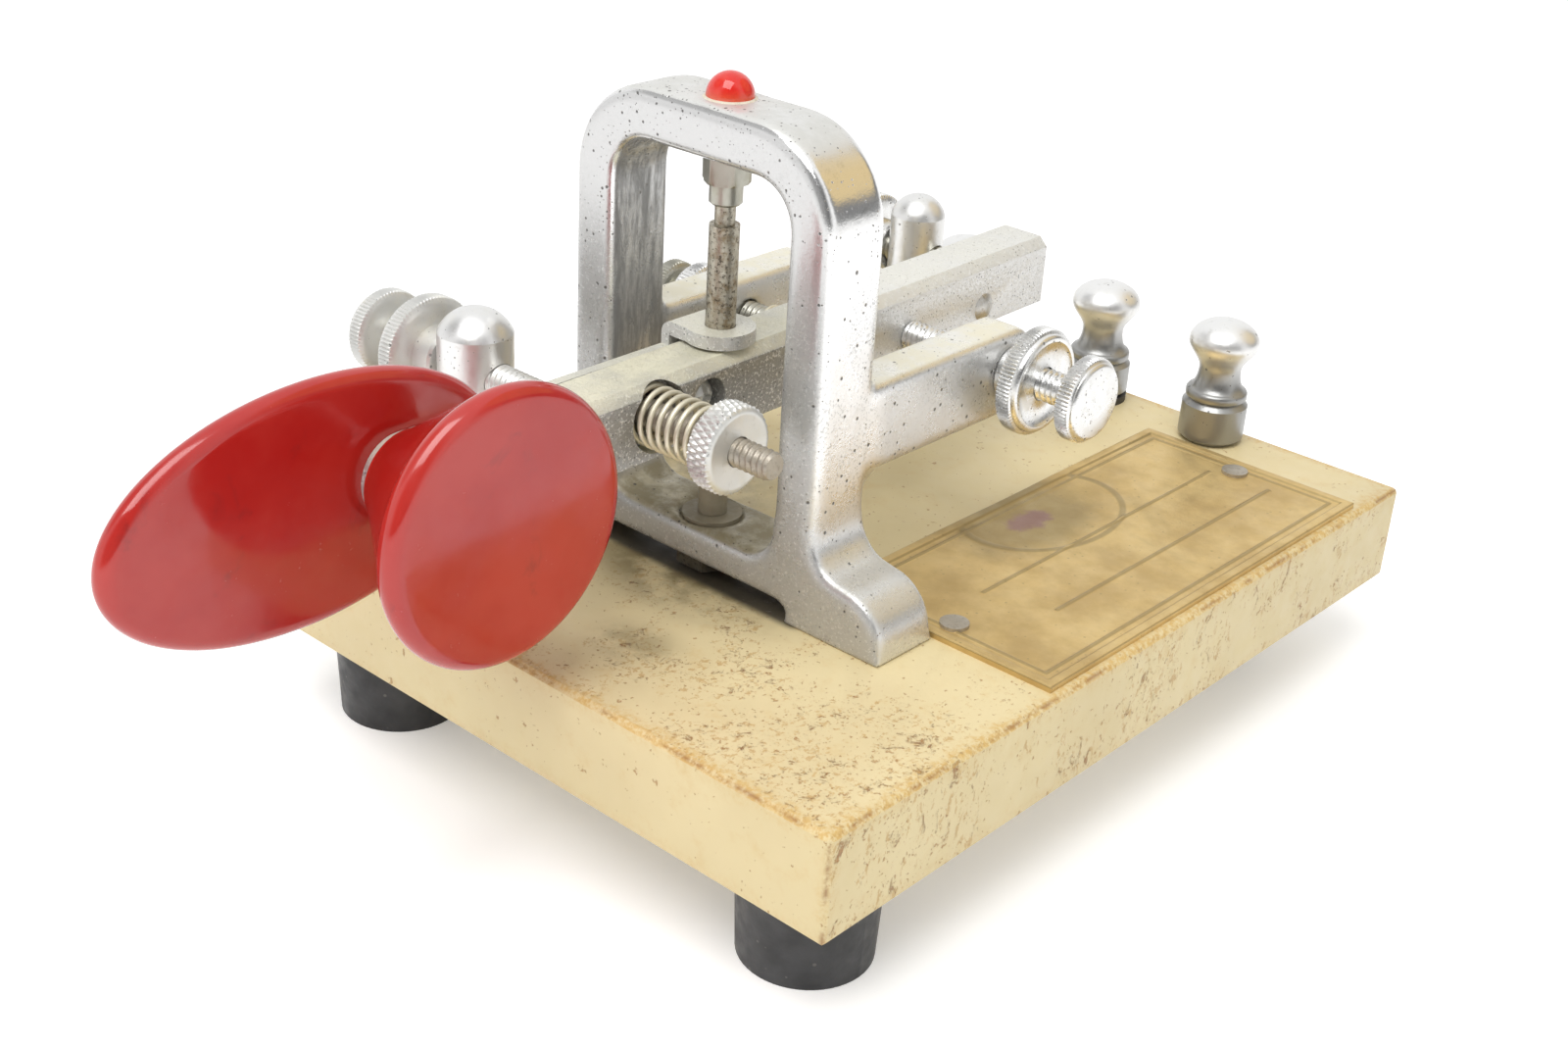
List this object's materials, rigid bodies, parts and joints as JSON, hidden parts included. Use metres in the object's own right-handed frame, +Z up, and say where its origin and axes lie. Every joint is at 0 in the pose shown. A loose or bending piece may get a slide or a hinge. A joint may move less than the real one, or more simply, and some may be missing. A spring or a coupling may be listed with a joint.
{
  "type": "semi-automatic telegraph key",
  "caption": "Single-lever telegraph key: red knob and oval paddle on a sprung lever pivoted in a chromed arch, with contact posts, adjusting screws and terminals on a cream base.",
  "frame": {"origin": "on the table, midway between the paddle's tip and the rear of the base, on the base's middle line", "axes": "+Z up, +Y from the paddle towards the terminals, +X to the operator's right"},
  "size_m": [0.0888, 0.1564, 0.0824],
  "materials": {
    "base": "worn cream paint",
    "rubber_feet": "matt black",
    "foot_screws": "plain",
    "frame": "bright, pitted",
    "frame_screws": "plain",
    "upper_bearing": "bright",
    "lower_bearing": "dull",
    "lower_bearing_nut": "dull",
    "jewel": "glossy red",
    "nameplate": "tarnished",
    "nameplate_pins": "plain",
    "dash_post": "bright, pitted",
    "dot_post": "bright, pitted",
    "post_insulators": "black fibre",
    "under_washers": "black fibre",
    "post_nuts": "plain",
    "terminal_studs": "bright, pitted",
    "terminal_insulators": "black fibre",
    "terminal_nuts": "plain",
    "dash_strap": "plain",
    "dot_strap": "plain",
    "main_lever": "rough cast, plated",
    "trunnion_pin": "rust-stained",
    "clamp_screw": "dull",
    "dot_contact": "plain",
    "leaf_rivet": "dull",
    "dash_lever": "bright",
    "dash_contact": "plain",
    "finger_knob": "glossy red",
    "thumb_paddle": "glossy red",
    "paddle_screw": "plain",
    "spring_stud": "threaded, stained",
    "dash_spring": "pale",
    "spring_nut": "knurled",
    "return_spring": "pale",
    "stop_screw": "knurled head",
    "stop_lock_nut": "knurled",
    "spring_screw": "knurled head",
    "spring_lock_nut": "knurled",
    "dash_screw": "knurled head",
    "dash_lock_nut": "knurled",
    "dot_screw": "knurled head",
    "dot_lock_nut": "knurled",
    "terminal_knob_left": "bright",
    "terminal_knob_mid": "bright",
    "terminal_knob_right": "bright"
  },
  "bodies": {
    "stand": {"base": "base", "rubber_feet": "rubber_feet", "foot_screws": "foot_screws", "frame": "frame", "frame_screws": "frame_screws", "upper_bearing": "upper_bearing", "lower_bearing": "lower_bearing", "lower_bearing_nut": "lower_bearing_nut", "jewel": "jewel", "nameplate": "nameplate", "nameplate_pins": "nameplate_pins", "dash_post": "dash_post", "dot_post": "dot_post", "post_insulators": "post_insulators", "under_washers": "under_washers", "post_nuts": "post_nuts", "terminal_studs": "terminal_studs", "terminal_insulators": "terminal_insulators", "terminal_nuts": "terminal_nuts", "dash_strap": "dash_strap", "dot_strap": "dot_strap"},
    "lever": {"main_lever": "main_lever", "trunnion_pin": "trunnion_pin", "clamp_screw": "clamp_screw", "dot_contact": "dot_contact", "leaf_rivet": "leaf_rivet", "dash_spring": "dash_spring", "return_spring": "return_spring"},
    "dash_arm": {"dash_lever": "dash_lever", "dash_contact": "dash_contact", "finger_knob": "finger_knob", "thumb_paddle": "thumb_paddle", "paddle_screw": "paddle_screw", "spring_stud": "spring_stud"},
    "spring_nut_body": {"spring_nut": "spring_nut"},
    "stop_screw_body": {"stop_screw": "stop_screw"},
    "stop_lock_nut_body": {"stop_lock_nut": "stop_lock_nut"},
    "spring_screw_body": {"spring_screw": "spring_screw"},
    "spring_lock_nut_body": {"spring_lock_nut": "spring_lock_nut"},
    "dash_screw_body": {"dash_screw": "dash_screw"},
    "dash_lock_nut_body": {"dash_lock_nut": "dash_lock_nut"},
    "dot_screw_body": {"dot_screw": "dot_screw"},
    "dot_lock_nut_body": {"dot_lock_nut": "dot_lock_nut"},
    "terminal_left_body": {"terminal_knob_left": "terminal_knob_left"},
    "terminal_mid_body": {"terminal_knob_mid": "terminal_knob_mid"},
    "terminal_right_body": {"terminal_knob_right": "terminal_knob_right"}
  },
  "joints": [
    {"name": "lever_hinge", "type": "hinge", "parent": "stand", "child": "lever", "pos_m": [-0.002, -0.00411, 0.0465], "axis": [0, 0, 1], "range_deg": [0, 1], "stiffness_Nm_per_rad": 0.5, "springref_deg": -1.72, "deforming": ["return_spring"]},
    {"name": "dash_hinge", "type": "hinge", "parent": "lever", "child": "dash_arm", "pos_m": [-0.002, -0.00411, 0.0465], "axis": [0, 0, -1], "range_deg": [0, 2.8], "stiffness_Nm_per_rad": 0.3, "springref_deg": -2.86, "deforming": ["dash_spring"]},
    {"name": "spring_nut_turn", "type": "hinge", "parent": "dash_arm", "child": "spring_nut_body", "pos_m": [0.0119, -0.01721, 0.04785], "axis": [1, 0, 0], "range_deg": [-720, 720]},
    {"name": "stop_screw_turn", "type": "hinge", "parent": "stand", "child": "stop_screw_body", "pos_m": [0.0186, 0.02539, 0.0465], "axis": [1, 0, 0], "range_deg": [0, 1080]},
    {"name": "stop_lock_nut_turn", "type": "hinge", "parent": "stand", "child": "stop_lock_nut_body", "pos_m": [0.0186, 0.02539, 0.0465], "axis": [1, 0, 0], "range_deg": [0, 720]},
    {"name": "spring_screw_turn", "type": "hinge", "parent": "stand", "child": "spring_screw_body", "pos_m": [-0.0226, 0.01489, 0.0465], "axis": [-1, 0, 0], "range_deg": [0, 1080]},
    {"name": "spring_lock_nut_turn", "type": "hinge", "parent": "stand", "child": "spring_lock_nut_body", "pos_m": [-0.0226, 0.01489, 0.0465], "axis": [-1, 0, 0], "range_deg": [0, 720]},
    {"name": "dash_screw_turn", "type": "hinge", "parent": "stand", "child": "dash_screw_body", "pos_m": [-0.029, -0.02261, 0.0473], "axis": [-1, 0, 0], "range_deg": [0, 1080]},
    {"name": "dash_lock_nut_turn", "type": "hinge", "parent": "stand", "child": "dash_lock_nut_body", "pos_m": [-0.029, -0.02261, 0.0473], "axis": [-1, 0, 0], "range_deg": [0, 720]},
    {"name": "dot_screw_turn", "type": "hinge", "parent": "stand", "child": "dot_screw_body", "pos_m": [-0.024, 0.04939, 0.0465], "axis": [-1, 0, 0], "range_deg": [0, 1080]},
    {"name": "dot_lock_nut_turn", "type": "hinge", "parent": "stand", "child": "dot_lock_nut_body", "pos_m": [-0.024, 0.04939, 0.0465], "axis": [-1, 0, 0], "range_deg": [0, 720]},
    {"name": "terminal_left_turn", "type": "hinge", "parent": "stand", "child": "terminal_left_body", "pos_m": [-0.025, 0.07319, 0.0345], "axis": [0, 0, 1], "range_deg": [0, 1800]},
    {"name": "terminal_mid_turn", "type": "hinge", "parent": "stand", "child": "terminal_mid_body", "pos_m": [-0.0005, 0.07319, 0.0345], "axis": [0, 0, 1], "range_deg": [0, 1800]},
    {"name": "terminal_right_turn", "type": "hinge", "parent": "stand", "child": "terminal_right_body", "pos_m": [0.0185, 0.07319, 0.0345], "axis": [0, 0, 1], "range_deg": [0, 1800]}
  ]
}
